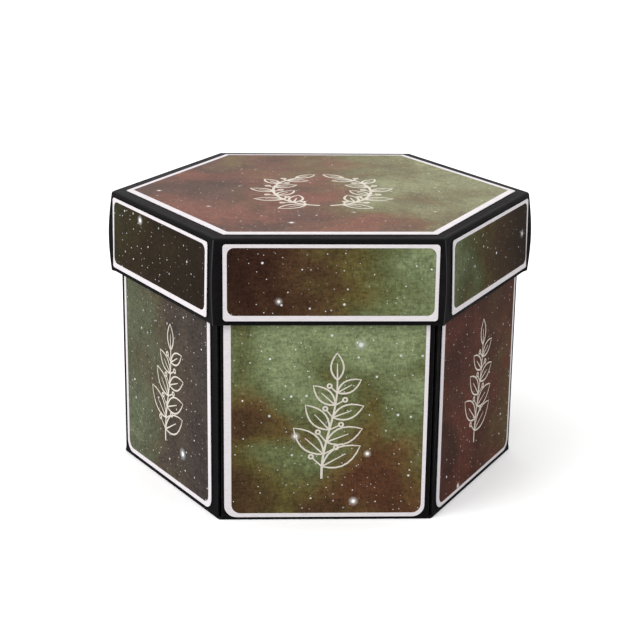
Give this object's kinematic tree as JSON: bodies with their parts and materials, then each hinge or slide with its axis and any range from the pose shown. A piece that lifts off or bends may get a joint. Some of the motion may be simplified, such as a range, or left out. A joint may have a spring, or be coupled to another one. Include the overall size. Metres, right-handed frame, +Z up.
{
  "type": "explosion box",
  "caption": "Hexagonal explosion gift box: black board with bordered prints, a lift-off lid, and nested rings of folding walls that open flat like petals.",
  "frame": {"origin": "middle of the outer base's underside, where the closed box stands", "axes": "+Z up through the lid, -Y out of the front side, corners of the hexagon on the X axis"},
  "size_m": [0.184, 0.1598, 0.1205],
  "materials": {
    "black_board": "satin",
    "outer_print": "satin",
    "lid_side_print": "satin",
    "lid_top_print": "satin",
    "photo_page": "matte",
    "centre_card": "matte",
    "pad_foam": "matte"
  },
  "bodies": {
    "base": {"outer_base": "black_board", "middle_mounting_pad": "pad_foam", "middle_base": "black_board", "inner_mounting_pad": "pad_foam", "inner_base": "black_board", "centre_card": "centre_card"},
    "lid": {"lid_shell": "black_board", "lid_top_print": "lid_top_print", "lid_side_print_1": "lid_side_print", "lid_side_print_2": "lid_side_print", "lid_side_print_3": "lid_side_print", "lid_side_print_4": "lid_side_print", "lid_side_print_5": "lid_side_print", "lid_side_print_6": "lid_side_print"},
    "outer_petal_1": {"outer_wall_1": "black_board", "outer_photo_page_1": "photo_page", "outer_print_1": "outer_print"},
    "outer_petal_2": {"outer_wall_2": "black_board", "outer_photo_page_2": "photo_page", "outer_print_2": "outer_print"},
    "outer_petal_3": {"outer_wall_3": "black_board", "outer_photo_page_3": "photo_page", "outer_print_3": "outer_print"},
    "outer_petal_4": {"outer_wall_4": "black_board", "outer_photo_page_4": "photo_page", "outer_print_4": "outer_print"},
    "outer_petal_5": {"outer_wall_5": "black_board", "outer_photo_page_5": "photo_page", "outer_print_5": "outer_print"},
    "outer_petal_6": {"outer_wall_6": "black_board", "outer_photo_page_6": "photo_page", "outer_print_6": "outer_print"},
    "middle_petal_1": {"middle_wall_1": "black_board", "middle_photo_page_1": "photo_page"},
    "middle_petal_2": {"middle_wall_2": "black_board", "middle_photo_page_2": "photo_page"},
    "middle_petal_3": {"middle_wall_3": "black_board", "middle_photo_page_3": "photo_page"},
    "middle_petal_4": {"middle_wall_4": "black_board", "middle_photo_page_4": "photo_page"},
    "middle_petal_5": {"middle_wall_5": "black_board", "middle_photo_page_5": "photo_page"},
    "middle_petal_6": {"middle_wall_6": "black_board", "middle_photo_page_6": "photo_page"},
    "inner_petal_1": {"inner_wall_1": "black_board", "inner_photo_page_1": "photo_page"},
    "inner_petal_2": {"inner_wall_2": "black_board", "inner_photo_page_2": "photo_page"},
    "inner_petal_3": {"inner_wall_3": "black_board", "inner_photo_page_3": "photo_page"},
    "inner_petal_4": {"inner_wall_4": "black_board", "inner_photo_page_4": "photo_page"},
    "inner_petal_5": {"inner_wall_5": "black_board", "inner_photo_page_5": "photo_page"},
    "inner_petal_6": {"inner_wall_6": "black_board", "inner_photo_page_6": "photo_page"}
  },
  "joints": [
    {"name": "lid_lift", "type": "slide", "parent": "base", "child": "lid", "axis": [0, 0, 1], "range_m": [0, 4.2]},
    {"name": "outer_fold_1", "type": "hinge", "parent": "base", "child": "outer_petal_1", "pos_m": [0, -0.07589, 0], "axis": [1, 0, 0], "range_deg": [0, 90]},
    {"name": "outer_fold_2", "type": "hinge", "parent": "base", "child": "outer_petal_2", "pos_m": [0.06573, -0.03795, 0], "axis": [0.5, 0.866, 0], "range_deg": [0, 90]},
    {"name": "outer_fold_3", "type": "hinge", "parent": "base", "child": "outer_petal_3", "pos_m": [0.06573, 0.03795, 0], "axis": [-0.5, 0.866, 0], "range_deg": [0, 90]},
    {"name": "outer_fold_4", "type": "hinge", "parent": "base", "child": "outer_petal_4", "pos_m": [0, 0.07589, 0], "axis": [-1, 0, 0], "range_deg": [0, 90]},
    {"name": "outer_fold_5", "type": "hinge", "parent": "base", "child": "outer_petal_5", "pos_m": [-0.06573, 0.03795, 0], "axis": [-0.5, -0.866, 0], "range_deg": [0, 90]},
    {"name": "outer_fold_6", "type": "hinge", "parent": "base", "child": "outer_petal_6", "pos_m": [-0.06573, -0.03795, 0], "axis": [0.5, -0.866, 0], "range_deg": [0, 90]},
    {"name": "middle_fold_1", "type": "hinge", "parent": "base", "child": "middle_petal_1", "pos_m": [0, -0.06779, 0.0025], "axis": [1, 0, 0], "range_deg": [0, 90]},
    {"name": "middle_fold_2", "type": "hinge", "parent": "base", "child": "middle_petal_2", "pos_m": [0.05871, -0.0339, 0.0025], "axis": [0.5, 0.866, 0], "range_deg": [0, 90]},
    {"name": "middle_fold_3", "type": "hinge", "parent": "base", "child": "middle_petal_3", "pos_m": [0.05871, 0.0339, 0.0025], "axis": [-0.5, 0.866, 0], "range_deg": [0, 90]},
    {"name": "middle_fold_4", "type": "hinge", "parent": "base", "child": "middle_petal_4", "pos_m": [0, 0.06779, 0.0025], "axis": [-1, 0, 0], "range_deg": [0, 90]},
    {"name": "middle_fold_5", "type": "hinge", "parent": "base", "child": "middle_petal_5", "pos_m": [-0.05871, 0.0339, 0.0025], "axis": [-0.5, -0.866, 0], "range_deg": [0, 90]},
    {"name": "middle_fold_6", "type": "hinge", "parent": "base", "child": "middle_petal_6", "pos_m": [-0.05871, -0.0339, 0.0025], "axis": [0.5, -0.866, 0], "range_deg": [0, 90]},
    {"name": "inner_fold_1", "type": "hinge", "parent": "base", "child": "inner_petal_1", "pos_m": [0, -0.06024, 0.00445], "axis": [1, 0, 0], "range_deg": [0, 90]},
    {"name": "inner_fold_2", "type": "hinge", "parent": "base", "child": "inner_petal_2", "pos_m": [0.05217, -0.03012, 0.00445], "axis": [0.5, 0.866, 0], "range_deg": [0, 90]},
    {"name": "inner_fold_3", "type": "hinge", "parent": "base", "child": "inner_petal_3", "pos_m": [0.05217, 0.03012, 0.00445], "axis": [-0.5, 0.866, 0], "range_deg": [0, 90]},
    {"name": "inner_fold_4", "type": "hinge", "parent": "base", "child": "inner_petal_4", "pos_m": [0, 0.06024, 0.00445], "axis": [-1, 0, 0], "range_deg": [0, 90]},
    {"name": "inner_fold_5", "type": "hinge", "parent": "base", "child": "inner_petal_5", "pos_m": [-0.05217, 0.03012, 0.00445], "axis": [-0.5, -0.866, 0], "range_deg": [0, 90]},
    {"name": "inner_fold_6", "type": "hinge", "parent": "base", "child": "inner_petal_6", "pos_m": [-0.05217, -0.03012, 0.00445], "axis": [0.5, -0.866, 0], "range_deg": [0, 90]}
  ],
  "couplings": [
    {"joint": "outer_fold_1", "follows": "lid_lift", "rad_per_m": 0.3738},
    {"joint": "outer_fold_2", "follows": "lid_lift", "rad_per_m": 0.3738},
    {"joint": "outer_fold_3", "follows": "lid_lift", "rad_per_m": 0.3738},
    {"joint": "outer_fold_4", "follows": "lid_lift", "rad_per_m": 0.3738},
    {"joint": "outer_fold_5", "follows": "lid_lift", "rad_per_m": 0.3738},
    {"joint": "outer_fold_6", "follows": "lid_lift", "rad_per_m": 0.3738},
    {"joint": "middle_fold_1", "follows": "lid_lift", "rad_per_m": 0.3738},
    {"joint": "middle_fold_2", "follows": "lid_lift", "rad_per_m": 0.3738},
    {"joint": "middle_fold_3", "follows": "lid_lift", "rad_per_m": 0.3738},
    {"joint": "middle_fold_4", "follows": "lid_lift", "rad_per_m": 0.3738},
    {"joint": "middle_fold_5", "follows": "lid_lift", "rad_per_m": 0.3738},
    {"joint": "middle_fold_6", "follows": "lid_lift", "rad_per_m": 0.3738},
    {"joint": "inner_fold_1", "follows": "lid_lift", "rad_per_m": 0.3738},
    {"joint": "inner_fold_2", "follows": "lid_lift", "rad_per_m": 0.3738},
    {"joint": "inner_fold_3", "follows": "lid_lift", "rad_per_m": 0.3738},
    {"joint": "inner_fold_4", "follows": "lid_lift", "rad_per_m": 0.3738},
    {"joint": "inner_fold_5", "follows": "lid_lift", "rad_per_m": 0.3738},
    {"joint": "inner_fold_6", "follows": "lid_lift", "rad_per_m": 0.3738}
  ]
}
